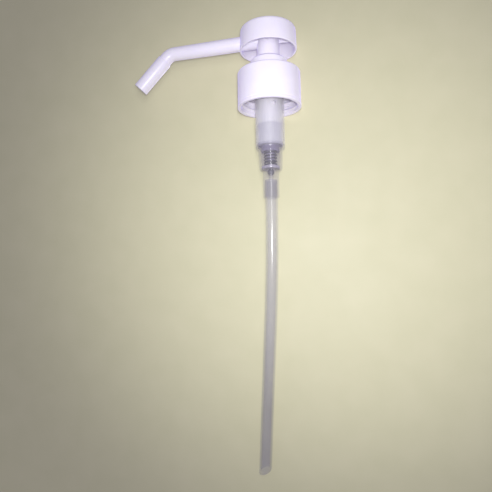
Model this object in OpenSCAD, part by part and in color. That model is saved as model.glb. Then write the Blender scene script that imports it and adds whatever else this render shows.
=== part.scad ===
// Hand plunger pump for a threaded bottle neck, with a long bent spout and a dip tube.
// Drawn in mm with the head screwed down on its collar.
// The origin is the centre of the gasket's underside, the plane a bottle neck ends on.
// +Z runs up the pump's axis, and the spout points along -X.

/* [Closure] */
// Outside diameter of the closure at its lower bead
closure_d = 37; // [36.5:0.1:39]
// Depth of the closure below the plane the neck ends on
skirt_depth = 15; // [13:0.5:17]

/* [Head and spout] */
// Outside diameter of the head at its rim
head_d = 33.3; // [32:0.1:36]
// Height of the head's drum
head_h = 13; // [12.6:0.1:14]
// Height of the head's rim above the neck plane with the head screwed down
head_rim_z = 19.1; // [19:0.1:20]
// Outside diameter of the spout's arm at the head
spout_d = 8.2; // [8:0.05:8.6]
// Reach of the spout's bend from the pump's axis
bend_reach = 59.8; // [45:0.1:90]
// Length of the spout from its bend to its outlet
tip_length = 27.8; // [22:0.1:40]
// Slope of the outlet below the horizontal, degrees
tip_slope = 46.3; // [30:0.1:75]

/* [Pump and dip tube] */
// Travel of the plunger
stroke = 22; // [16:1:22]
// Outside diameter of the pump's barrel
barrel_d = 17; // [16.8:0.1:17.2]
// Outside diameter of the dip tube
tube_d = 7.3; // [6.6:0.1:7.4]
// Depth of the dip tube's end below the neck plane, measured along the tube
dip_depth = 228; // [150:1:260]

/* [Hidden] */
$fn = 96;
cut = 0.5;  // how far a cut runs past the face it opens
join_turn = 0.02;  // degrees of overlap that make two runs of a tube one solid
slip = 0.05;  // radial clearance of a running fit
push = 0.02;  // radial clearance of a pushed-in joint
rest_gap = 0.03;  // gap under a part that rests on another
sink = 0.4;  // how far a ridge is sunk into the wall it stands on
edge = 0.25;  // chamfer of a rim

white = [0.93, 0.92, 0.95];
natural = [0.86, 0.87, 0.88, 0.55];
steel = [0.72, 0.73, 0.75];
seal = [0.88, 0.89, 0.90];

// The stack clamped under the closure, from the neck plane up.
gasket_t = 1.4;
flange_t = 1.4;
flange_top_z = gasket_t + flange_t;
collar_flange_top_z = flange_top_z + flange_t;
web_z = collar_flange_top_z + 0.2;
web_t = 1.7;
closure_top_z = web_z + web_t;
gasket_r = 15.2;
flange_r = 14.6;

// The closure's skirt and its thread.
closure_r = closure_d / 2;
closure_bead = 0.12;
closure_bead_h = 1.4;
closure_draft = 0.1;
closure_round = 1.3;
closure_bore_r = 16.45;
neck_crest_r = 15.4;
neck_pitch = 4.23;
neck_turns = 1.5;
neck_ridge_w = [2.4, 0.9];
neck_thread_z = 2 - skirt_depth;

// The collar that guides the stem and takes the head's thread.
collar_r = 10.7;
collar_top_z = 13.6;
collar_chamfer = 1.3;
collar_bore_r = 7.2;
collar_land_t = 1.6;
plug_depth = 2.9;
plug_groove_r = [5.6, 6.2];

// The head, with its stem sleeve and the lock thread on that sleeve.
head_r = head_d / 2;
head_top_z = head_rim_z + head_h;
head_draft = 0.45;
head_round = 2;
head_wall = 1.1;
sleeve_r = 6.6;
sleeve_end_z = 5.2;
sleeve_step_z = 11.2;
lock_root_r = 5.9;
lock_crest_r = 6.5;
lock_pitch = 3.2;
lock_turns = 1.2;
lock_ridge_w = [1.8, 0.7];
stem_seat_z = 20.6;
rib_t = 1.2;
rib_end_z = 23.3;

// The spout's arm and tip.
arm_slope = 2.8;
arm_draft = 0.25;
arm_r = spout_d / 2;
arm_end_r = arm_r - arm_draft;
spout_axis_z = 25.65;
spout_bore_r = 3;
spout_socket_start = 3.6;
elbow_r = 7;
elbow_turn = tip_slope - arm_slope;
elbow_leg = elbow_r * tan(elbow_turn / 2);
arm_straight = bend_reach / cos(arm_slope) - elbow_leg;
tip_seam = 5.1;
tip_r = 4.35;
tip_bore_r = 3.4;
tip_chamfer = 0.3;
spigot_r = 3.6;
spigot_length = 6;

// The stem and the piston that slides on it.
stem_r = 4.35;
stem_bore_r = 2.5;
stem_end_z = -30;
piston_top_z = -plug_depth - 0.1 - stroke;
piston_web_t = 1.2;
piston_web_r = 3.4;
piston_lift = 1.2;
piston_end_z = -37.3;
valve_z = stem_end_z - piston_web_t - piston_lift - 0.1;
valve_r = 4.6;
valve_t = 1.2;
spring_cap_z = piston_end_z - 0.1;
spring_cap_r = 5.3;
spring_cap_t = 1.1;
spring_cap_skirt = 2.4;

// The housing: barrel, narrower spring chamber, and the dip tube's socket.
barrel_r = barrel_d / 2;
bore_r = 7.3;
shoulder_z = -38;
shoulder_round = 2.4;
chamber_r = [7.075, 6.65];
chamber_bore_r = [5.87, 5.43];
chamber_floor_z = -51;
chamber_round = 1.7;
chamber_foot_t = 1.3;
bore_end_z = shoulder_z - 0.6;
chamber_bore_top_z = shoulder_z - 2.8;
socket_wall = 1;
socket_r = tube_d / 2 + push + socket_wall;
socket_end_z = -67.5;
vent_r = 1;
vent_z = 0.6 - skirt_depth;
vent_turn = -65;

// The inlet ball, its seat and the spring over it.
ball_r = 1.95;
pocket_r = 2.6;
pocket_depth = 1.6;
inlet_r = 1.3;
seat_depth = 1.7;
seat_slope = atan((pocket_r - inlet_r) / seat_depth);
seat_end_z = chamber_floor_z - pocket_depth - seat_depth;
ball_z = seat_end_z - inlet_r / tan(seat_slope) + (ball_r + rest_gap) / sin(seat_slope);
inlet_length = 3;
tube_top_z = seat_end_z - inlet_length;
spring_seat_z = chamber_floor_z + 1.5;
cage_r = 2.9;
cage_bore_r = 2.25;
ball_lift = 1.4;
cage_bar_z = ball_z + ball_r + ball_lift + 0.05;
cage_bar_t = 1;
wire_r = 0.4;
coil_r = 3.5;
coil_turns = 6.8;

// The dip tube's slow bend and slanted end.
tube_bore_r = tube_d / 2 - 1;
tube_bend_z = -68.5;
tube_bend_r = 520;
tube_bend_turn = 7.6;
tube_bend_side = 122;
tube_end_slant = 25;

// Points on an arc about [x, z], from one angle to another.
function arc(x, z, r, from, to, n = 8) =
    [for (i = [0:n]) let (a = from + (to - from) * i / n) [x + r * cos(a), z + r * sin(a)]];

// A point at radius r and height z, turned by an angle about the pump's axis.
function turned(p, angle, rise = 0) = [p[0] * cos(angle), p[0] * sin(angle), p[1] + rise];

// Faces that join a row of n sections of k points each into one closed skin.
function skin_faces(n, k) = concat(
    [[for (j = [k - 1:-1:0]) j]],
    [for (i = [0:n - 2]) for (j = [0:k - 1])
        [i * k + j, i * k + (j + 1) % k, (i + 1) * k + (j + 1) % k, (i + 1) * k + j]],
    [[for (j = [0:k - 1]) (n - 1) * k + j]]);

// A right-hand thread ridge between an inner and an outer radius. Its crest sinks at both ends.
module thread_ridge(root_r, crest_r, z, pitch, turns, width, steps = 30) {
    n = ceil(turns * steps) + 1;
    fade_steps = 5;
    low_crest = 0.2;
    root_w = width[0];
    crest_w = width[1];
    sections = [for (i = [0:n - 1])
        let (fade = min(1, (1 + min(i, n - 1 - i)) / (1 + fade_steps)))
        let (crest = root_r + (crest_r - root_r) * max(fade, low_crest))
        crest < root_r
            ? [[crest, -crest_w / 2], [root_r, -root_w / 2], [root_r, root_w / 2], [crest, crest_w / 2]]
            : [[root_r, -root_w / 2], [crest, -crest_w / 2], [crest, crest_w / 2], [root_r, root_w / 2]]];
    points = [for (i = [0:n - 1]) for (p = sections[i])
        turned(p, 360 * turns * i / (n - 1), z + pitch * turns * i / (n - 1))];
    polyhedron(points, skin_faces(n, 4), convexity = 8);
}

// Turns what is drawn along +Z so that it runs along the spout's arm.
module along_arm() {
    translate([0, 0, spout_axis_z]) rotate([0, -90 - arm_slope, 0]) children();
}

// Turns what is drawn along +Z so that it runs along the tip, starting at the elbow's end.
module along_tip() {
    along_arm() translate([-elbow_r, 0, arm_straight]) rotate([0, -elbow_turn, 0])
        translate([elbow_r, 0, 0]) children();
}

// A solid run of the arm, its elbow and the start of the tip. It tapers between the head and the elbow.
module spout_run(r, end_r, start, past_elbow) {
    taper_start = head_r;
    along_arm() {
        translate([0, 0, start]) cylinder(h = taper_start - start, r = r);
        translate([0, 0, taper_start]) cylinder(h = arm_straight - taper_start, r1 = r, r2 = end_r);
        translate([-elbow_r, 0, arm_straight]) rotate([90, 0, 0])
            rotate_extrude(angle = elbow_turn + join_turn) translate([elbow_r, 0]) circle(r = end_r);
    }
    along_tip() cylinder(h = past_elbow, r = end_r);
}

// The head's drum as a full solid.
module head_drum() {
    top_r = head_r - head_draft;
    rotate_extrude() polygon(concat(
        [[0, head_rim_z], [head_r, head_rim_z]],
        arc(top_r - head_round, head_top_z - head_round, head_round, 0, 90),
        [[0, head_top_z]]));
}

// The hollow under the drum's top, with a rounded corner at its ceiling.
module head_hollow() {
    ceiling_z = head_top_z - head_wall;
    ceiling_r = head_r - head_draft - head_wall;
    rotate_extrude() polygon(concat(
        [[0, head_rim_z - cut], [head_r - head_wall, head_rim_z - cut]],
        arc(ceiling_r - head_wall, ceiling_z - head_wall, head_wall, 0, 90, 4),
        [[0, ceiling_z]]));
}

// The sleeve that takes the stem: plain above, with the lock thread on its thinner end.
module head_sleeve() {
    top_z = head_top_z - head_wall / 2;
    translate([0, 0, sleeve_step_z]) cylinder(h = top_z - sleeve_step_z, r = sleeve_r);
    translate([0, 0, sleeve_end_z]) cylinder(h = sleeve_step_z - sleeve_end_z + cut, r = lock_root_r);
    thread_ridge(lock_root_r - sink, lock_crest_r, sleeve_end_z + 1, lock_pitch, lock_turns, lock_ridge_w);
}

// The drum-shaped head: hollow below, with the stem's sleeve, a rib, and a socket for the arm.
module head_cap() {
    color(white) difference() {
        union() {
            difference() {
                head_drum();
                head_hollow();
            }
            head_sleeve();
            translate([lock_root_r, -rib_t / 2, rib_end_z])
                cube([head_r - head_wall / 2 - lock_root_r, rib_t, head_top_z - head_wall / 2 - rib_end_z]);
        }
        translate([0, 0, sleeve_end_z - cut])
            cylinder(h = stem_seat_z + 0.1 - sleeve_end_z + cut, r = stem_r + slip);
        translate([0, 0, stem_seat_z]) cylinder(h = spout_axis_z - stem_seat_z, r = stem_bore_r);
        along_arm() cylinder(h = head_d, r = spout_bore_r);
        along_arm() translate([0, 0, spout_socket_start]) cylinder(h = head_d, r = arm_r + push);
    }
}

// The spout's long arm with its elbow, and a spigot that the tip pushes onto.
module spout_arm() {
    seam = tip_seam - elbow_leg;
    color(white) difference() {
        union() {
            spout_run(arm_r, arm_end_r, spout_socket_start + 0.1, seam);
            along_tip() translate([0, 0, seam - cut]) cylinder(h = spigot_length + cut, r = spigot_r);
        }
        spout_run(spout_bore_r, spout_bore_r, spout_socket_start - cut, seam + spigot_length + cut);
    }
}

// The straight end of the spout, a little wider than the arm.
module spout_tip() {
    length = tip_length - tip_seam;
    color(white) along_tip() translate([0, 0, tip_seam - elbow_leg]) rotate_extrude() polygon([
        [spigot_r + push, 0], [tip_r, 0], [tip_r, length - tip_chamfer], [tip_r - tip_chamfer, length],
        [tip_bore_r, length], [tip_bore_r, spigot_length + 0.2], [spigot_r + push, spigot_length + 0.2]]);
}

// The hollow stem that the head sits on.
module upper_stem() {
    color(white) translate([0, 0, stem_end_z]) difference() {
        cylinder(h = stem_seat_z - stem_end_z, r = stem_r);
        translate([0, 0, -cut]) cylinder(h = stem_seat_z - stem_end_z + 2 * cut, r = stem_bore_r);
    }
}

// The rod plugged into the stem from below: flow grooves, valve disc and a cap over the spring.
module lower_stem() {
    rod_r = stem_bore_r - push;
    rod_chamfer = 0.5;
    plug_top_z = stem_end_z + 10;
    waist_r = 3;
    cap_floor_z = spring_cap_z - spring_cap_t;
    cap_end_z = cap_floor_z - spring_cap_skirt;
    cap_bore_r = spring_cap_r - 1;
    pin_r = 2.4;
    pin_chamfer = 1;
    pin_end_z = cap_floor_z - 8;
    groove_floor_r = 1.2;
    groove_w = 1.5;
    color(seal) difference() {
        rotate_extrude() polygon([
            [0, plug_top_z], [rod_r - rod_chamfer, plug_top_z], [rod_r, plug_top_z - rod_chamfer],
            [rod_r, valve_z], [valve_r, valve_z], [valve_r, valve_z - valve_t],
            [waist_r, valve_z - valve_t - rod_chamfer], [waist_r, spring_cap_z],
            [spring_cap_r, spring_cap_z], [spring_cap_r, cap_end_z], [cap_bore_r, cap_end_z],
            [cap_bore_r, cap_floor_z], [pin_r, cap_floor_z], [pin_r, pin_end_z + pin_chamfer],
            [pin_r - pin_chamfer, pin_end_z], [0, pin_end_z]]);
        for (turn = [0:90:270]) rotate([0, 0, turn]) translate([groove_floor_r, -groove_w / 2, valve_z])
            cube([stem_bore_r, groove_w, plug_top_z - valve_z + cut]);
    }
}

// The piston: two wiping lips on the barrel and a web that opens and shuts on the valve disc.
module piston() {
    lip_r = bore_r - slip;
    lip_edge_r = lip_r - 0.65;
    lip_land = 1;
    lip_depth = 3;
    body_r = 6.5;
    hub_r = 5.5;
    hub_top_z = piston_top_z - 0.6;
    web_top_z = stem_end_z - slip;
    web_end_z = web_top_z - piston_web_t;
    color(seal) rotate_extrude() polygon([
        [stem_r + slip, hub_top_z], [hub_r, hub_top_z], [hub_r, piston_top_z - lip_depth],
        [lip_edge_r, piston_top_z], [lip_r, piston_top_z], [lip_r, piston_top_z - lip_land],
        [body_r, piston_top_z - lip_depth - lip_land], [body_r, piston_end_z + lip_depth + lip_land],
        [lip_r, piston_end_z + lip_land], [lip_r, piston_end_z], [lip_edge_r, piston_end_z],
        [hub_r, piston_end_z + lip_depth], [hub_r, web_end_z], [piston_web_r, web_end_z],
        [piston_web_r, web_top_z], [stem_r + slip, web_top_z]]);
}

// The collar: flange under the closure, neck with the lock thread inside, and a plug in the barrel's mouth.
module lock_collar() {
    floor_z = collar_flange_top_z + 0.2;
    guide_r = stem_r + slip;
    plug_r = bore_r - push;
    clamp_r = flange_r - 1;
    land_r = sleeve_r + 0.08;
    land_end_z = collar_top_z - collar_land_t;
    crest_r = lock_crest_r + 0.12;
    color(white) {
        difference() {
            rotate_extrude() polygon([
                [guide_r, -plug_depth], [plug_r, -plug_depth], [plug_r, flange_top_z],
                [clamp_r, flange_top_z], [clamp_r, collar_flange_top_z], [collar_r, collar_flange_top_z],
                [collar_r, collar_top_z - collar_chamfer], [collar_r - collar_chamfer, collar_top_z],
                [land_r, collar_top_z],
                [land_r, land_end_z], [collar_bore_r, land_end_z - 0.6], [collar_bore_r, floor_z],
                [guide_r, floor_z]]);
            translate([0, 0, -plug_depth - cut]) difference() {
                cylinder(h = plug_depth + gasket_t + cut, r = plug_groove_r[1]);
                cylinder(h = plug_depth + gasket_t + cut, r = plug_groove_r[0]);
            }
        }
        thread_ridge(collar_bore_r + sink, crest_r, floor_z + 1.6, lock_pitch, lock_turns, lock_ridge_w);
    }
}

// The screw closure: plain skirt with a slight bead at its rim, top web, and a thread for the neck.
module closure() {
    side_r = closure_r - closure_bead;
    top_r = side_r - closure_draft;
    hole_r = collar_r + 0.25;
    rim_z = -skirt_depth;
    lead_in = 0.5;
    color(white) {
        rotate_extrude() polygon(concat(
            [[closure_bore_r + lead_in, rim_z], [closure_r - edge, rim_z], [closure_r, rim_z + edge],
                [closure_r, rim_z + closure_bead_h - edge], [side_r, rim_z + closure_bead_h]],
            arc(top_r - closure_round, closure_top_z - closure_round, closure_round, 0, 90),
            [[hole_r, closure_top_z], [hole_r, web_z], [closure_bore_r, web_z],
                [closure_bore_r, rim_z + lead_in]]));
        thread_ridge(closure_bore_r + sink, neck_crest_r, neck_thread_z, neck_pitch, neck_turns, neck_ridge_w,
            steps = 36);
    }
}

// The flat gasket that seals on the bottle's neck.
module neck_gasket() {
    color(seal) difference() {
        cylinder(h = gasket_t, r = gasket_r);
        translate([0, 0, -cut]) cylinder(h = gasket_t + 2 * cut, r = barrel_r + push);
    }
}

// The stepped housing: flange, barrel, spring chamber, ball seat and the socket of the dip tube.
module housing() {
    tube_socket_r = tube_d / 2 + push;
    foot_z = chamber_floor_z - chamber_foot_t;
    color(natural) difference() {
        rotate_extrude() polygon(concat(
            [[bore_r, flange_top_z], [flange_r, flange_top_z], [flange_r, gasket_t], [barrel_r, gasket_t]],
            arc(barrel_r - shoulder_round, shoulder_z, shoulder_round, 0, -60),
            [[chamber_r[0], shoulder_z - shoulder_round]],
            arc(chamber_r[1] - chamber_round, foot_z + chamber_round, chamber_round, 0, -90),
            [[socket_r, foot_z], [socket_r, socket_end_z + edge], [socket_r - edge, socket_end_z],
                [tube_socket_r, socket_end_z], [tube_socket_r, tube_top_z], [inlet_r, tube_top_z],
                [inlet_r, seat_end_z], [pocket_r, seat_end_z + seat_depth], [pocket_r, chamber_floor_z],
                [chamber_bore_r[1], chamber_floor_z], [chamber_bore_r[0], chamber_bore_top_z],
                [bore_r, bore_end_z]]));
        rotate([0, 0, vent_turn]) translate([bore_r - cut, 0, vent_z]) rotate([0, 90, 0])
            cylinder(h = barrel_r - bore_r + 2 * cut, r = vent_r);
    }
}

// The spring, compressed: one closed turn at each end and open turns between.
module spring() {
    steps = 24;
    sides = 8;
    n = round(coil_turns * steps) + 1;
    low_z = spring_seat_z + wire_r + rest_gap;
    high_z = spring_cap_z - spring_cap_t - wire_r - rest_gap;
    closed = 2 * wire_r + slip;
    open = (high_z - low_z - 2 * closed) / (coil_turns - 2);
    wire = [for (j = [0:sides - 1]) let (a = 360 * j / sides) [coil_r + wire_r * cos(a), wire_r * sin(a)]];
    points = [for (i = [0:n - 1])
        let (t = coil_turns * i / (n - 1))
        let (free = max(0, min(t, coil_turns - 1) - 1))
        let (rise = closed * (min(t, 1) + max(0, t - coil_turns + 1)) + open * free)
        for (p = wire) turned(p, 360 * t, low_z + rise)];
    color(steel) polyhedron(points, skin_faces(n, sides), convexity = 20);
}

// The seat under the spring, with a cage that stops the ball's rise.
module spring_seat() {
    cage_top_z = cage_bar_z + cage_bar_t;
    seat_r = chamber_bore_r[1] - 0.25;
    bar_l = 2 * cage_bore_r + 0.6;
    bar_w = 1.2;
    color(seal) {
        rotate_extrude() polygon([
            [cage_bore_r, chamber_floor_z], [seat_r, chamber_floor_z], [seat_r, spring_seat_z],
            [cage_r, spring_seat_z], [cage_r, cage_top_z], [cage_bore_r, cage_top_z]]);
        translate([-bar_l / 2, -bar_w / 2, cage_bar_z]) cube([bar_l, bar_w, cage_bar_t]);
    }
}

// The steel inlet ball, shut on its cone.
module inlet_ball() {
    color(steel) translate([0, 0, ball_z]) sphere(r = ball_r);
}

// Stations down the dip tube, each [sideways, z, lean]: straight, slowly bent, then straight to its end.
function tube_stations(top_z) =
    let (steps = 8)
    let (tail = dip_depth + tube_bend_z - tube_bend_r * tube_bend_turn * PI / 180)
    let (bend = [for (i = [0:steps]) let (a = tube_bend_turn * i / steps)
        [tube_bend_r * (1 - cos(a)), tube_bend_z - tube_bend_r * sin(a), a]])
    concat([[0, top_z, 0]], bend,
        [bend[steps] + [tail * sin(tube_bend_turn), -tail * cos(tube_bend_turn), 0]]);

// The dip tube, pushed into the housing's socket and cut off at a slant.
module dip_tube() {
    sides = 48;
    stations = tube_stations(tube_top_z - 0.1);
    n = len(stations);
    // Outer ring then inner ring at each station. The last one is sheared along the tube for the slant.
    points = [for (i = [0:n - 1]) for (r = [tube_d / 2, tube_bore_r]) for (j = [0:sides - 1])
        let (u = r * cos(360 * j / sides))
        let (v = r * sin(360 * j / sides))
        let (lean = stations[i][2])
        let (drop = i == n - 1 ? v * tan(tube_end_slant) : 0)
        let (x = stations[i][0] + u * cos(lean) + drop * sin(lean))
        [x, v, stations[i][1] + u * sin(lean) - drop * cos(lean)]];
    walls = [for (i = [0:n - 2]) for (j = [0:sides - 1])
        let (a = 2 * i * sides)
        let (b = a + 2 * sides)
        let (k = (j + 1) % sides)
        let (outer = [a + j, a + k, b + k, b + j])
        let (inner = [b + sides + j, b + sides + k, a + sides + k, a + sides + j])
        for (face = [outer, inner]) face];
    ends = [for (j = [0:sides - 1])
        let (b = 2 * (n - 1) * sides)
        let (k = (j + 1) % sides)
        for (face = [[sides + j, sides + k, k, j], [b + j, b + k, b + sides + k, b + sides + j]])
            face];
    color(natural) rotate([0, 0, tube_bend_side]) polyhedron(points, concat(walls, ends), convexity = 4);
}

head_cap();
spout_arm();
spout_tip();
upper_stem();
lower_stem();
piston();
lock_collar();
closure();
neck_gasket();
housing();
spring();
spring_seat();
inlet_ball();
dip_tube();
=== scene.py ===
import math

import bmesh
import bpy
from mathutils import Matrix, Vector


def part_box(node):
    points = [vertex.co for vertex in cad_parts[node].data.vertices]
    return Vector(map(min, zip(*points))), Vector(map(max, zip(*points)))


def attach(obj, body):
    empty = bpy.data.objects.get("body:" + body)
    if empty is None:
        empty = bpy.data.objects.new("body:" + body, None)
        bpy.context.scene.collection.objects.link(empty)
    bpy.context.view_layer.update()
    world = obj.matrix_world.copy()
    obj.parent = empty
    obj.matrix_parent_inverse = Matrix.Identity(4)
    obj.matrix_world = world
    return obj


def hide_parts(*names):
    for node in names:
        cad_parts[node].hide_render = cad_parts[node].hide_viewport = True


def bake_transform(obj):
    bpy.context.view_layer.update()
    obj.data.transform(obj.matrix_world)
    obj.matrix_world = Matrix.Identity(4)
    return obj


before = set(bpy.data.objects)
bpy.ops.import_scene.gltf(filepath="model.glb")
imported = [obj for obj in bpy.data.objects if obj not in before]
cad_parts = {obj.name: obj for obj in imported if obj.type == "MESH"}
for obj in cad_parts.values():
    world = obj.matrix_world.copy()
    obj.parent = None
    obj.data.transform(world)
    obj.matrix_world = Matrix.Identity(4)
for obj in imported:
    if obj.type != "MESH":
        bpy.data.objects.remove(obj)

# A hand pump for fluids with its plunger locked down, seen lying on a sheet.
# Lengths are in millimetres until a mesh is made; lamps and noise are in metres.
MM = 0.001
FULL_TURN = 2 * math.pi
X = Vector((1, 0, 0))
Y = Vector((0, 1, 0))
Z = Vector((0, 0, 1))

# The CAD's own bounds, before any piece is replaced.
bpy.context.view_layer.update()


def span(node):
    """Lowest and highest corner of a CAD node, in millimetres."""
    lo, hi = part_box(node)
    return Vector(lo) / MM, Vector(hi) / MM


# --- Sizes, from the frame -------------------------------------------------------------------

HEAD_LO, HEAD_HI = span("head_cap")
CLOSURE_LO, CLOSURE_HI = span("closure")
GASKET_LO, GASKET_HI = span("neck_gasket")
HOUSING_LO, HOUSING_HI = span("housing")
COLLAR_LO, COLLAR_HI = span("lock_collar")
STEM_LO, STEM_HI = span("upper_stem")
PISTON_LO, PISTON_HI = span("piston")
SPRING_LO, SPRING_HI = span("spring")
ARM_LO = span("spout_arm")[0]
TIP_LO = span("spout_tip")[0]
TUBE_TOP = span("dip_tube")[1].z

# Radial clearance of a pushed-in joint and of a running fit, and the gap at the end of a socket.
PUSH = 0.02
SLIP = 0.05
END_GAP = 0.1
# How far a thread's ridge starts inside its wall.
SINK = 0.1

# The head's drum, the sleeve in it and the rib.
HEAD_R = HEAD_HI.y
HEAD_H = 13
HEAD_TOP = HEAD_HI.z
HEAD_RIM = HEAD_TOP - HEAD_H
HEAD_WALL = 1.1
HEAD_DRAFT = 0.45
SLEEVE_R = 6.6
SLEEVE_STEP = 11.2
SLEEVE_ROOT_R = 5.9
RIB_T = 1.2
RIB_END = 23.3

# The lock thread between the sleeve and the collar.
LOCK_CREST_R = 6.5
LOCK_PITCH = 3.2
LOCK_TURNS = 1.2
LOCK_RIDGE_W = 1.8
LOCK_GAP = 0.12

# The hollow stem.
STEM_R = STEM_HI.x
STEM_BORE_R = 2.5

# The stack clamped under the closure: gasket, housing's flange, collar's flange.
GASKET_TOP = GASKET_HI.z
FLANGE_TOP = HOUSING_HI.z
CLAMP_TOP = 2 * FLANGE_TOP - GASKET_TOP

# The spout's arm and tip.
ARM_R = 4.1
ARM_END_R = 3.85
ARM_AXIS_Z = 25.65
ARM_SLOPE = 2.8
ARM_START = 3.7
SPOUT_BORE_R = 3
ELBOW_R = 7
TIP_SLOPE = 46.3
TIP_R = 4.35
TIP_BORE_R = 3.4
TIP_EDGE = 0.3
TIP_SEAM = 5.1
SPIGOT_R = 3.6
SPIGOT_L = 6

# The housing's barrel and the dip tube.
BARREL_R = 8.5
BARREL_BORE_R = 7.3
TUBE_R = 3.65
TUBE_BORE_R = 2.65


# --- Mesh helpers ----------------------------------------------------------------------------

# Edges that bend by more degrees than this stay sharp.
SHARP = 35
WELD = 1e-7


def finish_mesh(name, bm, sharp=SHARP):
    """Turns a bmesh into a smooth-shaded object with its sharp edges kept."""
    bmesh.ops.remove_doubles(bm, verts=bm.verts, dist=WELD)
    bmesh.ops.recalc_face_normals(bm, faces=bm.faces)
    mesh = bpy.data.meshes.new(name)
    bm.to_mesh(mesh)
    bm.free()
    mesh.shade_smooth()
    mesh.set_sharp_from_angle(angle=math.radians(sharp))
    obj = bpy.data.objects.new(name, mesh)
    bpy.context.collection.objects.link(obj)
    return obj


def fillet(corners, steps=5):
    """An outline through corners (r, z, radius), with an arc of that radius at each corner."""
    outline = []
    count = len(corners)
    for i, (r, z, radius) in enumerate(corners):
        here = Vector((r, z))
        if radius == 0:
            outline.append(here)
            continue
        before = (Vector(corners[i - 1][:2]) - here).normalized()
        after = (Vector(corners[(i + 1) % count][:2]) - here).normalized()
        half = before.angle(after) / 2
        centre = here + (before + after).normalized() * radius / math.sin(half)
        first = here + before * radius / math.tan(half) - centre
        last = here + after * radius / math.tan(half) - centre
        turn = first.angle_signed(last)
        for k in range(steps + 1):
            outline.append(centre + Matrix.Rotation(-turn * k / steps, 2) @ first)
    return outline


def turned(angle, up, side, radius=1):
    """The vector at an angle from up towards side."""
    return radius * (math.cos(angle) * up + math.sin(angle) * side)


def circle(centre, up, side, radius, sides):
    """Points round a centre, from up towards side."""
    return [centre + turned(FULL_TURN * j / sides, up, side, radius) for j in range(sides)]


def skin(bm, sections, capped=False):
    """Quads between each section of points and the next, in a closed ring or in a run capped at both ends."""
    rows = [[bm.verts.new(p * MM) for p in section] for section in sections]
    pairs = zip(rows, rows[1:]) if capped else zip(rows, rows[1:] + rows[:1])
    for a, b in pairs:
        for j in range(len(a)):
            k = (j + 1) % len(a)
            bm.faces.new((a[j], a[k], b[k], b[j]))
    if capped:
        bm.faces.new(rows[0])
        bm.faces.new(list(reversed(rows[-1])))


def revolve(bm, outline, segments=128):
    """Adds a closed outline (r, z) turned about the Z axis."""
    turns = [FULL_TURN * i / segments for i in range(segments)]
    skin(bm, [[Vector((r * math.cos(a), r * math.sin(a), z)) for r, z in outline] for a in turns])


def ridge(bm, root_r, crest_r, z, pitch, turns, width, segments=64, fade=8):
    """Adds a thread ridge with rounded flanks, which fades to a low end over its first and last sections."""
    count = math.ceil(turns * segments)
    end_height = 0.15
    crest_half = width * 0.112
    flank_half = width * 0.24
    flank_drop = 0.25
    sections = []
    for i in range(count + 1):
        grow = math.sin(min(1, min(i, count - i) / fade) * math.pi / 2)
        crest = root_r + (crest_r - root_r) * max(grow, end_height)
        flank = crest + (root_r - crest) * flank_drop
        shape = [(root_r, -width / 2), (flank, -flank_half), (crest, -crest_half),
                 (crest, crest_half), (flank, flank_half), (root_r, width / 2)]
        a = FULL_TURN * turns * i / count
        rise = z + pitch * turns * i / count
        sections.append([Vector((r * math.cos(a), r * math.sin(a), h + rise)) for r, h in shape])
    skin(bm, sections, capped=True)


def tube(bm, path, sides=72):
    """Adds a closed skin along path, which runs out along the outside and back along the inside.

    A step of the path is (centre, forward, radius); forward is square to the section and has no y.
    """
    skin(bm, [circle(centre, Y.cross(forward).normalized(), Y, radius, sides)
              for centre, forward, radius in path])


def cut(obj, cutter):
    """Cuts cutter out of obj for good and removes it."""
    modifier = obj.modifiers.new("cut", "BOOLEAN")
    modifier.operation = "DIFFERENCE"
    modifier.solver = "EXACT"
    modifier.object = cutter
    bpy.context.view_layer.update()
    result = bpy.data.meshes.new_from_object(obj.evaluated_get(bpy.context.evaluated_depsgraph_get()))
    obj.modifiers.clear()
    obj.data = result
    result.set_sharp_from_angle(angle=math.radians(SHARP))
    bpy.data.objects.remove(cutter)


def rod(start, forward, length, radius, sides=72):
    """A plain round cutter."""
    bm = bmesh.new()
    up = forward.orthogonal().normalized()
    side = forward.cross(up)
    skin(bm, [circle(start + forward * along, up, side, radius, sides) for along in (0, length)], capped=True)
    return finish_mesh("cutter", bm)


# --- Places along the spout ------------------------------------------------------------------

def heading(slope):
    """The outward direction at a slope below the horizontal."""
    return Vector((-math.cos(math.radians(slope)), 0, -math.sin(math.radians(slope))))


ARM_DIR = heading(ARM_SLOPE)
TIP_DIR = heading(TIP_SLOPE)
ARM_ORIGIN = Z * ARM_AXIS_Z
ELBOW_TURN = math.radians(TIP_SLOPE - ARM_SLOPE)
ELBOW_LEG = ELBOW_R * math.tan(ELBOW_TURN / 2)


def end_centre(lo, side_r, low_r):
    """The centre of a round end square to the tip, from the radii that reach its box's side and foot."""
    lean = math.radians(TIP_SLOPE)
    return Vector((lo.x + side_r * math.sin(lean), 0, lo.z + low_r * math.cos(lean)))


SPIGOT_END = end_centre(ARM_LO, SPIGOT_R, SPIGOT_R)
SEAM = SPIGOT_END - TIP_DIR * SPIGOT_L
BEND = SEAM - TIP_DIR * TIP_SEAM
OUTLET = end_centre(TIP_LO, TIP_R, TIP_R - TIP_EDGE)
TIP_L = (OUTLET - SEAM).dot(TIP_DIR)
ARM_STRAIGHT = (BEND - ARM_ORIGIN).dot(ARM_DIR) - ELBOW_LEG


# --- Pieces ----------------------------------------------------------------------------------

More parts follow.
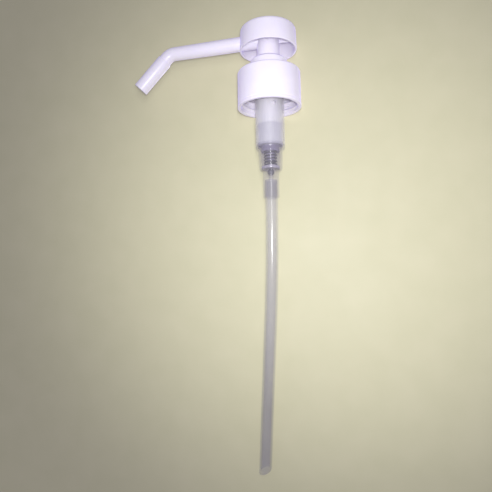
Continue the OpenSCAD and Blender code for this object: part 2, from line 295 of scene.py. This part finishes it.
def head_cap():
    """The drum with its rounded top, hollow below, with the sleeve for the stem and the arm's socket."""
    top_r = HEAD_R - HEAD_DRAFT
    ceiling = HEAD_TOP - HEAD_WALL
    hole = STEM_R + SLIP
    seat = STEM_HI.z + END_GAP
    bm = bmesh.new()
    revolve(bm, fillet([
        (0, HEAD_TOP, 0), (top_r, HEAD_TOP, 2), (HEAD_R, HEAD_RIM, 0.3), (HEAD_R - HEAD_WALL, HEAD_RIM, 0.3),
        (top_r - HEAD_WALL, ceiling, 1.1), (SLEEVE_R, ceiling, 0.6), (SLEEVE_R, SLEEVE_STEP, 0.15),
        (SLEEVE_ROOT_R, SLEEVE_STEP - 0.3, 0.1), (SLEEVE_ROOT_R, HEAD_LO.z, 0.3), (hole, HEAD_LO.z, 0.3),
        (hole, seat, 0), (STEM_BORE_R, seat, 0), (STEM_BORE_R, ARM_AXIS_Z, 0), (0, ARM_AXIS_Z, 0)]),
        segments=160)
    ridge(bm, SLEEVE_ROOT_R - SINK, LOCK_CREST_R, HEAD_LO.z + 1, LOCK_PITCH, LOCK_TURNS, LOCK_RIDGE_W)
    obj = finish_mesh("head_shell", bm)
    cut(obj, rod(ARM_ORIGIN + ARM_DIR * (ARM_START - END_GAP), ARM_DIR, HEAD_R, ARM_R + PUSH))
    return obj


def head_rib():
    """The stiffening rib across the hollow, opposite the spout, with a rounded lower edge."""
    inner = SLEEVE_R - 0.2
    outer = HEAD_R - HEAD_WALL / 2
    half = RIB_T / 2
    edge_half = half * 0.85
    top = HEAD_TOP - HEAD_WALL / 2
    shape = fillet([(-half, top, 0), (-edge_half, RIB_END, 0.35), (edge_half, RIB_END, 0.35), (half, top, 0)])
    bm = bmesh.new()
    skin(bm, [[Vector((x, y, z)) for y, z in shape] for x in (inner, outer)], capped=True)
    return finish_mesh("head_rib", bm)


def spout_arm():
    """The tapered arm with its elbow and spigot, one closed skin round its bore."""
    centre = ARM_ORIGIN + ARM_DIR * ARM_STRAIGHT
    pivot = centre + Vector((-ARM_DIR.z, 0, ARM_DIR.x)) * ELBOW_R
    taper_start = HEAD_R + 8
    taper_steps = 6
    elbow_steps = 12
    root_rings = [ARM_START + along for along in (0, 0.3, 6)]
    line = [(along, ARM_R) for along in (*root_rings, HEAD_R, taper_start)]
    for k in range(1, taper_steps + 1):
        part = k / taper_steps
        line.append((taper_start + (ARM_STRAIGHT - taper_start) * part, ARM_R + (ARM_END_R - ARM_R) * part))
    outside = [(ARM_ORIGIN + ARM_DIR * along, ARM_DIR, radius) for along, radius in line]
    inside = [(ARM_ORIGIN + ARM_DIR * along, ARM_DIR, SPOUT_BORE_R) for along, radius in line]
    for k in range(1, elbow_steps + 1):
        turn = ELBOW_TURN * k / elbow_steps
        place = pivot + Matrix.Rotation(-turn, 3, "Y") @ (centre - pivot)
        forward = heading(ARM_SLOPE + math.degrees(turn))
        outside.append((place, forward, ARM_END_R))
        inside.append((place, forward, SPOUT_BORE_R))
    lip = 0.15
    outside += [(SEAM - TIP_DIR * lip, TIP_DIR, ARM_END_R), (SEAM, TIP_DIR, ARM_END_R - lip),
                (SEAM, TIP_DIR, SPIGOT_R), (SPIGOT_END - TIP_DIR * lip, TIP_DIR, SPIGOT_R),
                (SPIGOT_END, TIP_DIR, SPIGOT_R - lip)]
    inside.append((SPIGOT_END, TIP_DIR, SPOUT_BORE_R))
    bm = bmesh.new()
    tube(bm, outside + list(reversed(inside)))
    return finish_mesh("arm", bm)


def spout_tip():
    """The straight end of the spout, with rounded lips at its seam and its outlet."""
    socket_r = SPIGOT_R + PUSH
    socket_l = SPIGOT_L + 2 * END_GAP
    corners = [
        (socket_r, 0, 0.1), (TIP_R, 0, 0.18), (TIP_R, TIP_L, TIP_EDGE), (TIP_BORE_R, TIP_L, 0.25),
        (TIP_BORE_R, socket_l, 0), (socket_r, socket_l, 0)]
    bm = bmesh.new()
    tube(bm, [(SEAM + TIP_DIR * along, TIP_DIR, radius) for radius, along in fillet(corners)])
    return finish_mesh("tip", bm)


def stem():
    """The hollow stem, chamfered at both ends."""
    bm = bmesh.new()
    revolve(bm, fillet([
        (STEM_R, STEM_HI.z, 0.3), (STEM_R, STEM_LO.z, 0.3), (STEM_BORE_R, STEM_LO.z, 0.2),
        (STEM_BORE_R, STEM_HI.z, 0.2)]), segments=96)
    return finish_mesh("stem_tube", bm)


def piston():
    """The piston: a hub on the stem and two thin wiping lips."""
    lip = PISTON_HI.x
    lip_inside = lip - 0.65
    lip_h = 1
    cup_h = 3
    skirt_h = 4
    waist = 6.5
    top = PISTON_HI.z
    end = PISTON_LO.z
    hub = 5.5
    hub_top = top - 0.6
    bore = STEM_R + SLIP
    web_bore = 3.4
    web_top = STEM_LO.z - SLIP
    web_end = web_top - 1.2
    bm = bmesh.new()
    revolve(bm, fillet([
        (bore, hub_top, 0.2), (hub, hub_top, 0.2), (hub, top - cup_h, 0.3), (lip_inside, top, 0.1),
        (lip, top, 0.15), (lip, top - lip_h, 0.3), (waist, top - skirt_h, 1), (waist, end + skirt_h, 1),
        (lip, end + lip_h, 0.3), (lip, end, 0.15), (lip_inside, end, 0.1), (hub, end + cup_h, 0.3),
        (hub, web_end, 0.2), (web_bore, web_end, 0.2), (web_bore, web_top, 0.2), (bore, web_top, 0.1)]),
        segments=112)
    return finish_mesh("piston_seal", bm)


def lock_collar():
    """The collar: flange, chamfered neck, inner lock thread and the plug in the barrel's mouth."""
    guide = STEM_R + SLIP
    plug = BARREL_BORE_R - PUSH
    clamp = COLLAR_HI.x
    neck = 10.7
    chamfer = 1.3
    land = SLEEVE_R + 0.08
    land_end = COLLAR_HI.z - 1.6
    bore = 7.2
    end = COLLAR_LO.z
    floor = CLAMP_TOP + 0.2
    top = COLLAR_HI.z
    bm = bmesh.new()
    revolve(bm, fillet([
        (guide, end, 0.15), (plug, end, 0.3), (plug, FLANGE_TOP, 0), (clamp, FLANGE_TOP, 0.1),
        (clamp, CLAMP_TOP, 0.2), (neck, CLAMP_TOP, 0.2), (neck, top - chamfer, 0.6),
        (neck - chamfer, top, 0.6), (land, top, 0.15), (land, land_end, 0.2), (bore, land_end - 0.6, 0.2),
        (bore, floor, 0.3), (guide, floor, 0.15)]))
    ridge(bm, bore + SINK, LOCK_CREST_R + LOCK_GAP, floor + 1.6, LOCK_PITCH, LOCK_TURNS, LOCK_RIDGE_W)
    return finish_mesh("collar", bm)


def closure():
    """The screw closure: a plain skirt with a slight bead, a rounded shoulder and a thread inside."""
    bead = CLOSURE_HI.y
    bead_h = 1.5
    side = bead - 0.12
    crease = side - 0.3
    rim = CLOSURE_LO.z
    top = CLOSURE_HI.z
    web = top - 1.7
    bore = 16.45
    hole = 10.95
    crest = 15.4
    pitch = 4.23
    turns = 1.5
    ridge_w = 2.4
    bm = bmesh.new()
    revolve(bm, fillet([
        (bore + 0.3, rim, 0.15), (bead, rim, 0.3), (bead, rim + bead_h, 0.2),
        (crease, rim + bead_h + 0.3, 0.1), (side, rim + bead_h + 0.8, 0.1), (side - 0.1, top, 1.3),
        (hole, top, 0.3), (hole, web, 0.15), (bore, web, 0.6), (bore, rim + 0.6, 0.2)]), segments=192)
    ridge(bm, bore + SINK, crest, rim + 2, pitch, turns, ridge_w, segments=96, fade=10)
    return finish_mesh("closure_cap", bm)


def neck_gasket():
    """The foam gasket, with softly pressed edges."""
    outer = GASKET_HI.x
    hole = BARREL_R + PUSH
    bm = bmesh.new()
    revolve(bm, fillet([
        (outer, GASKET_TOP, 0.3), (outer, GASKET_LO.z, 0.4), (hole, GASKET_LO.z, 0.3),
        (hole, GASKET_TOP, 0.3)]))
    return finish_mesh("gasket", bm)


def housing():
    """The stepped housing as one wall: flange, barrel, spring chamber, ball seat and tube socket."""
    flange = HOUSING_HI.x
    foot = -52.3
    end = HOUSING_LO.z
    socket = TUBE_R + PUSH
    socket_side = socket + 1
    tube_top = TUBE_TOP + END_GAP
    chamber_top_r = 7.12
    chamber_foot_r = 6.65
    chamber_bore_top_r = 5.87
    chamber_bore_foot_r = 5.43
    shoulder_top = -39.6
    shoulder_end = -40.4
    bore_shoulder_top = -38.6
    bore_shoulder_end = -40.8
    inlet_r = 1.3
    seat_end = -54.3
    pocket_r = 2.6
    pocket_end = -52.6
    floor = -51
    outside = [
        (BARREL_BORE_R, FLANGE_TOP, 0.15), (flange, FLANGE_TOP, 0.2), (flange, GASKET_TOP, 0.2),
        (BARREL_R, GASKET_TOP, 0.2), (BARREL_R, shoulder_top, 2), (chamber_top_r, shoulder_end, 0.3),
        (chamber_foot_r, foot, 1.7), (socket_side, foot, 0.4), (socket_side, end, 0.3)]
    inside = [
        (socket, end, 0.25), (socket, tube_top, 0), (inlet_r, tube_top, 0), (inlet_r, seat_end, 0.1),
        (pocket_r, pocket_end, 0.1), (pocket_r, floor, 0.1), (chamber_bore_foot_r, floor, 0.3),
        (chamber_bore_top_r, bore_shoulder_end, 0.4), (BARREL_BORE_R, bore_shoulder_top, 0.4)]
    bm = bmesh.new()
    revolve(bm, fillet(outside + inside), segments=144)
    obj = finish_mesh("pump_housing", bm)
    vent_r = 1
    vent_z = -14.4
    reach = 0.5
    out = turned(math.radians(-65), X, Y)
    start = out * (BARREL_BORE_R - reach) + Z * vent_z
    cut(obj, rod(start, out, BARREL_R - BARREL_BORE_R + 2 * reach, vent_r, sides=32))
    return obj


def spring():
    """The wound spring: a round wire with one closed turn at each end and rounded wire ends."""
    turns = 6.8
    wire_r = 0.4
    coil_r = 3.5
    per_turn = 48
    sides = 14
    closed_rise = 0.85
    tip_r = wire_r * 0.6
    tip_l = 0.15
    low = SPRING_LO.z + wire_r
    high = SPRING_HI.z - wire_r
    open_rise = (high - low - 2 * closed_rise) / (turns - 2)
    last = round(turns * per_turn)
    sections = []
    for i in range(-1, last + 2):
        t = turns * min(max(i, 0), last) / last
        closed_turns = min(t, 1) + max(0, t - turns + 1)
        open_turns = max(0, min(t, turns - 1) - 1)
        rise = closed_rise * closed_turns + open_rise * open_turns
        a = FULL_TURN * t
        out = Vector((math.cos(a), math.sin(a), 0))
        ahead = Vector((-math.sin(a), math.cos(a), 0))
        beyond = (i > last) - (i < 0)
        centre = out * coil_r + Z * (low + rise) + ahead * (tip_l * beyond)
        sections.append(circle(centre, out, Z, tip_r if beyond else wire_r, sides))
    bm = bmesh.new()
    skin(bm, sections, capped=True)
    return finish_mesh("spring_coil", bm, sharp=60)


def dip_tube():
    """The dip tube: straight in its socket, slowly bent, and cut off at a slant."""
    length = 228
    bend_z = -68.5
    bend_r = 520
    bend = math.radians(7.6)
    bend_steps = 24
    slant = math.tan(math.radians(25))
    side = turned(math.radians(122), X, Y)
    across = Z.cross(side)

    def ring(centre, lean, radius):
        return circle(centre, side * math.cos(lean) + Z * math.sin(lean), across, radius, 72)

    line = [(Z * TUBE_TOP, 0), (Z * bend_z, 0)]
    for k in range(1, bend_steps + 1):
        lean = bend * k / bend_steps
        line.append((side * bend_r * (1 - math.cos(lean)) + Z * (bend_z - bend_r * math.sin(lean)), lean))
    forward = side * math.sin(bend) - Z * math.cos(bend)
    end = line[-1][0] + forward * (length + bend_z - bend_r * bend)
    outlet = [[point + forward * (point - end).dot(across) * slant for point in ring(end, bend, radius)]
              for radius in (TUBE_R, TUBE_BORE_R)]
    bm = bmesh.new()
    outside = [ring(centre, lean, TUBE_R) for centre, lean in line]
    inside = [ring(centre, lean, TUBE_BORE_R) for centre, lean in reversed(line)]
    skin(bm, outside + outlet + inside)
    return finish_mesh("suction_tube", bm)


# --- Materials -------------------------------------------------------------------------------

class Look:
    """A node material being built round one Principled shader."""

    def __init__(self, name):
        self.material = bpy.data.materials.new(name)
        self.material.use_nodes = True
        tree = self.material.node_tree
        self.nodes, self.links = tree.nodes, tree.links
        self.nodes.clear()
        self.output = self.nodes.new("ShaderNodeOutputMaterial")
        self.shader = self.nodes.new("ShaderNodeBsdfPrincipled")
        self.links.new(self.shader.outputs[0], self.output.inputs[0])
        self.place = self.nodes.new("ShaderNodeTexCoord").outputs["Object"]

    def set(self, **values):
        """Sets the shader's inputs, named with underscores for spaces."""
        for key, value in values.items():
            self.shader.inputs[key.replace("_", " ")].default_value = value

    def noise(self, scale, detail=3, stretch=(1, 1, 1), rough=0.5):
        """Noise of about scale waves to the metre, stretched along the axes."""
        mapping = self.nodes.new("ShaderNodeMapping")
        mapping.inputs["Scale"].default_value = stretch
        self.links.new(self.place, mapping.inputs["Vector"])
        noise = self.nodes.new("ShaderNodeTexNoise")
        noise.inputs["Scale"].default_value = scale
        noise.inputs["Detail"].default_value = detail
        noise.inputs["Roughness"].default_value = rough
        self.links.new(mapping.outputs[0], noise.inputs["Vector"])
        return noise.outputs["Fac"]

    def ramp(self, value, low, high, start=0.3, end=0.7):
        """Maps value from start..end to low..high."""
        remap = self.nodes.new("ShaderNodeMapRange")
        remap.inputs["From Min"].default_value = start
        remap.inputs["From Max"].default_value = end
        remap.inputs["To Min"].default_value = low
        remap.inputs["To Max"].default_value = high
        self.links.new(value, remap.inputs["Value"])
        return remap.outputs[0]

    def tint(self, factor, first, second):
        """A colour between first and second."""
        mix = self.nodes.new("ShaderNodeMix")
        mix.data_type = "RGBA"
        mix.inputs["A"].default_value = (*first, 1)
        mix.inputs["B"].default_value = (*second, 1)
        for socket in mix.inputs:
            if socket.name == "Factor" and socket.type == "VALUE" and socket.enabled:
                self.links.new(factor, socket)
        return next(s for s in mix.outputs if s.type == "RGBA")

    def add(self, first, second):
        """The sum of two values."""
        total = self.nodes.new("ShaderNodeMath")
        total.operation = "ADD"
        self.links.new(first, total.inputs[0])
        self.links.new(second, total.inputs[1])
        return total.outputs[0]

    def drive(self, socket, value):
        """Links a value to one of the shader's inputs."""
        self.links.new(value, self.shader.inputs[socket])

    def bump(self, *layers):
        """Bump from layers of (height, strength, distance in millimetres)."""
        normal = None
        for height, strength, distance in layers:
            node = self.nodes.new("ShaderNodeBump")
            node.inputs["Strength"].default_value = strength
            node.inputs["Distance"].default_value = distance * MM
            self.links.new(height, node.inputs["Height"])
            if normal:
                self.links.new(normal, node.inputs["Normal"])
            normal = node.outputs[0]
        self.links.new(normal, self.shader.inputs["Normal"])


def white_plastic(name, colour, shade):
    """Moulded polypropylene: faint clouding, fine grain, handling scuffs."""
    look = Look(name)
    look.set(IOR=1.49, Subsurface_Weight=0.12, Subsurface_Radius=(0.002, 0.0018, 0.0025))
    look.set(Coat_Weight=0.06, Coat_Roughness=0.25)
    look.set(Sheen_Weight=0.5, Sheen_Roughness=0.4, Sheen_Tint=(0.45, 0.38, 1.0, 1))
    look.drive("Base Color", look.tint(look.ramp(look.noise(90, 4), 0, 1), colour, shade))
    scuffs = look.ramp(look.noise(260, 6, (1, 1, 0.35), 0.7), 0, 0.16, 0.52, 0.72)
    look.drive("Roughness", look.add(scuffs, look.ramp(look.noise(1400, 2), 0.27, 0.36)))
    look.bump((look.noise(2600, 2), 0.10, 0.05), (look.noise(160, 2, (1, 1, 0.3)), 0.12, 0.25))
    return look.material


def milky_plastic(name, top, low, opacity, levels, roughness, stretch):
    """See-through polyolefin with lines along its length.

    From the first level to the second its colour goes from low to top and its opacity from the first value to
    the second. The darker low colour is painted shade.
    """
    look = Look(name)
    look.set(IOR=1.5, Coat_Weight=1, Coat_Roughness=0.12, Coat_IOR=1.7)
    look.set(Sheen_Weight=0.25, Sheen_Roughness=0.35, Sheen_Tint=(0.95, 0.95, 1.0, 1))
    height = look.nodes.new("ShaderNodeSeparateXYZ")
    look.links.new(look.place, height.inputs[0])
    # Painted shade: below the first level the colour darkens to low, standing in for the shade lower down.
    rise = look.ramp(height.outputs["Z"], 0, 1, levels[0] * MM, levels[1] * MM)
    blotch = look.ramp(look.noise(120, 4, stretch), -0.1, 0.1)
    look.drive("Base Color", look.tint(look.add(rise, blotch), low, top))
    opacity_by_height = look.ramp(rise, opacity[0], opacity[1], 0, 1)
    look.drive("Alpha", look.add(opacity_by_height, look.ramp(look.noise(200, 3, stretch), -0.04, 0.05)))
    look.drive("Roughness", look.ramp(look.noise(700, 4, stretch), roughness - 0.06, roughness + 0.08))
    look.bump((look.noise(900, 3, stretch), 0.18, 0.12))
    return look.material


def soft_seal(name, first, second):
    """Soft polyethylene of the piston, the rod and the spring's seat, in dark colours that are painted shade
    inside the housing.
    """
    look = Look(name)
    look.set(Subsurface_Weight=0.1, Subsurface_Radius=(0.001, 0.001, 0.0012), IOR=1.5)
    look.drive("Base Color", look.tint(look.ramp(look.noise(200, 3), 0, 1), first, second))
    look.drive("Roughness", look.ramp(look.noise(900, 3), 0.38, 0.55))
    look.bump((look.noise(1800, 2), 0.12, 0.06))
    return look.material


def gasket_foam():
    """Pressed foam with fine closed cells."""
    look = Look("foam_look")
    cells = look.nodes.new("ShaderNodeTexVoronoi")
    cells.inputs["Scale"].default_value = 3200
    look.links.new(look.place, cells.inputs["Vector"])
    look.set(Roughness=0.8)
    shade = look.ramp(look.noise(400, 4), 0, 1)
    look.drive("Base Color", look.tint(shade, (0.78, 0.77, 0.72), (0.86, 0.85, 0.82)))
    look.bump((cells.outputs["Distance"], 0.5, 0.12))
    return look.material


def steel(name, colour, roughness):
    """Steel with fine grain and a little dulling."""
    look = Look(name)
    look.set(Metallic=1)
    dull = tuple(c * 0.8 for c in colour)
    look.drive("Base Color", look.tint(look.ramp(look.noise(500, 3), 0, 1), colour, dull))
    look.drive("Roughness", look.ramp(look.noise(1500, 3), roughness * 0.7, roughness * 1.4))
    look.bump((look.noise(5000, 2), 0.15, 0.03))
    return look.material


white = white_plastic("white_look", (0.90, 0.86, 0.97), (0.86, 0.82, 0.94))
# The housing's darker low colour below its shoulder is painted shade inside the spring chamber.
natural = milky_plastic("natural_look", top=(0.86, 0.85, 0.90), low=(0.48, 0.46, 0.52), opacity=(0.16, 0.38),
                        levels=(-39, -36), roughness=0.22, stretch=(1, 1, 0.2))
# The dip tube's darker low colour towards its lower end is painted shade where the light falls off.
drawn = milky_plastic("tube_look", top=(0.66, 0.65, 0.67), low=(0.37, 0.36, 0.40), opacity=(0.22, 0.17),
                      levels=(-190, -70), roughness=0.20, stretch=(1, 1, 0.06))
# The dark colours of the piston, rod and seat are painted shade inside the housing.
seal = soft_seal("seal_look", (0.24, 0.21, 0.36), (0.20, 0.18, 0.32))
rod_seal = soft_seal("rod_look", (0.20, 0.17, 0.29), (0.25, 0.22, 0.34))
seat_seal = soft_seal("seat_look", (0.42, 0.39, 0.48), (0.36, 0.33, 0.42))
foam = gasket_foam()
# The spring's near-black colour is painted shade inside the spring chamber.
spring_steel = steel("spring_look", (0.07, 0.06, 0.09), roughness=0.35)
ball_steel = steel("ball_look", (0.22, 0.22, 0.26), roughness=0.12)

# --- The pieces on their bodies --------------------------------------------------------------

# Builder, the CAD nodes it stands for, body, slot and material.
PIECES = [
    (head_cap, ["head_cap"], "head", "white_pp", white),
    (spout_arm, ["spout_arm"], "head", "white_pp", white),
    (spout_tip, ["spout_tip"], "head", "white_pp", white),
    (stem, ["upper_stem"], "stem", "white_pp", white),
    (piston, ["piston"], "piston", "seal_pe", seal),
    (lock_collar, ["lock_collar"], "frame", "white_pp", white),
    (closure, ["closure"], "closure", "white_pp", white),
    (neck_gasket, ["neck_gasket"], "frame", "gasket_foam", foam),
    (housing, ["housing"], "frame", "natural_pp", natural),
    (dip_tube, ["dip_tube"], "frame", "tube_pe", drawn),
    (head_rib, [], "head", "white_pp", white),
]
for build, nodes, body, slot, material in PIECES:
    piece = build()
    piece.data.materials.clear()
    piece.data.materials.append(material)
    if nodes:
        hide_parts(*nodes)
    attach(piece, body)

# The spring sits on its seat, up to the cap on the stem's rod.
coil = spring()
coil.data.materials.append(spring_steel)
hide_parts("spring")
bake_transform(coil)

# These pieces keep their CAD mesh.
for name, material in (("lower_stem", rod_seal), ("spring_seat", seat_seal), ("inlet_ball", ball_steel)):
    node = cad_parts[name]
    node.data.materials.clear()
    node.data.materials.append(material)

# --- Camera ----------------------------------------------------------------------------------

SENSOR = 36
LENS = 33.66
AIM = Vector((-15.8, 1.9, -94.9)) * MM
DISTANCE = 268.2 * MM
AZIMUTH = math.radians(9.3)
ELEVATION = math.radians(-3.15)
ROLL = math.radians(-1.13)

back = Vector((math.sin(AZIMUTH) * math.cos(ELEVATION), -math.cos(AZIMUTH) * math.cos(ELEVATION),
               math.sin(ELEVATION)))
data = bpy.data.cameras.new("camera")
data.sensor_width = SENSOR
data.lens = LENS
camera = bpy.data.objects.new("camera", data)
bpy.context.collection.objects.link(camera)
camera.matrix_world = (Matrix.Translation(AIM + back * DISTANCE)
                       @ back.to_track_quat("Z", "Y").to_matrix().to_4x4()
                       @ Matrix.Rotation(ROLL, 4, "Z"))
bpy.context.scene.camera = camera
bpy.context.scene.view_settings.view_transform = "Standard"
bpy.context.view_layer.update()

# --- The sheet it lies on and the light ------------------------------------------------------

SPOT_ANGLE = math.radians(86)


def sheet_look():
    """A pale satin sheet, clear from behind so that it never hides the pump's back."""
    look = Look("sheet_look")
    look.set(IOR=1.45)
    shade = look.ramp(look.noise(60, 6), 0, 1)
    look.drive("Base Color", look.tint(shade, (0.60, 0.58, 0.385), (0.625, 0.60, 0.405)))
    look.drive("Roughness", look.ramp(look.noise(35, 3), 0.52, 0.6))
    look.bump((look.noise(900, 3, (1, 1, 0.25)), 0.15, 0.15), (look.noise(900, 3, (0.25, 1, 1)), 0.15, 0.15))
    clear = look.nodes.new("ShaderNodeBsdfTransparent")
    mix = look.nodes.new("ShaderNodeMixShader")
    geometry = look.nodes.new("ShaderNodeNewGeometry")
    look.links.new(geometry.outputs["Backfacing"], mix.inputs[0])
    look.links.new(look.shader.outputs[0], mix.inputs[1])
    look.links.new(clear.outputs[0], mix.inputs[2])
    look.links.new(mix.outputs[0], look.output.inputs[0])
    return look.material


def sheet():
    """The sheet, a plane just behind the closure. It casts no shadow, so that light from behind gets past."""
    reach = 900
    gap = 0.1
    y = CLOSURE_HI.y + gap
    mesh = bpy.data.meshes.new("sheet")
    corners = [(-reach, y, -reach), (reach, y, -reach), (reach, y, reach), (-reach, y, reach)]
    mesh.from_pydata([Vector(c) * MM for c in corners], [], [(0, 1, 2, 3)])
    obj = bpy.data.objects.new("sheet", mesh)
    bpy.context.collection.objects.link(obj)
    mesh.materials.append(sheet_look())
    obj.visible_shadow = False


def lamp(name, kind, place, aim, power, size, colour=(1, 1, 1)):
    """A lamp at place turned to aim; size is a spot's radius, a square's side or a rectangle's two sides."""
    light = bpy.data.lights.new(name, kind)
    light.energy = power
    light.color = colour
    if kind == "SPOT":
        light.shadow_soft_size = size
        light.spot_size = SPOT_ANGLE
        light.spot_blend = 1
    elif isinstance(size, tuple):
        light.shape = "RECTANGLE"
        light.size, light.size_y = size
    else:
        light.size = size
    obj = bpy.data.objects.new(name, light)
    bpy.context.collection.objects.link(obj)
    obj.location = place
    obj.rotation_euler = (place - aim).to_track_quat("Z", "Y").to_euler()


sheet()

COOL = (0.6, 0.5, 1)
# The key light sits just above the lens and looks up and to the right, where the sheet is brightest.
key_place = camera.matrix_world @ Vector((0.004, 0.012, 0))
lamp("key", "SPOT", key_place, AIM + Vector((0.055, 0, 0.02)), power=2.15, size=0.012)
# A tall strip above the lens draws the bright line down the tubes.
strip_place = camera.matrix_world @ Vector((0.006, 0.035, 0.01))
lamp("strip", "AREA", strip_place, AIM, power=0.2, size=(0.012, 0.15))
lamp("fill_back", "AREA", Vector((0.1, 0.6, 0.1)), AIM, power=3, size=0.5, colour=(0.92, 0.9, 1))
lamp("fill_left", "AREA", Vector((-0.5, 0.15, 0.1)), AIM, power=0.3, size=0.3, colour=COOL)
lamp("fill_right", "AREA", Vector((0.5, 0.15, 0.1)), AIM, power=0.3, size=0.3, colour=COOL)

world = bpy.data.worlds.new("world")
world.use_nodes = True
background = world.node_tree.nodes["Background"]
background.inputs["Color"].default_value = (0.86, 0.83, 1.0, 1)
background.inputs["Strength"].default_value = 0.42
bpy.context.scene.world = world
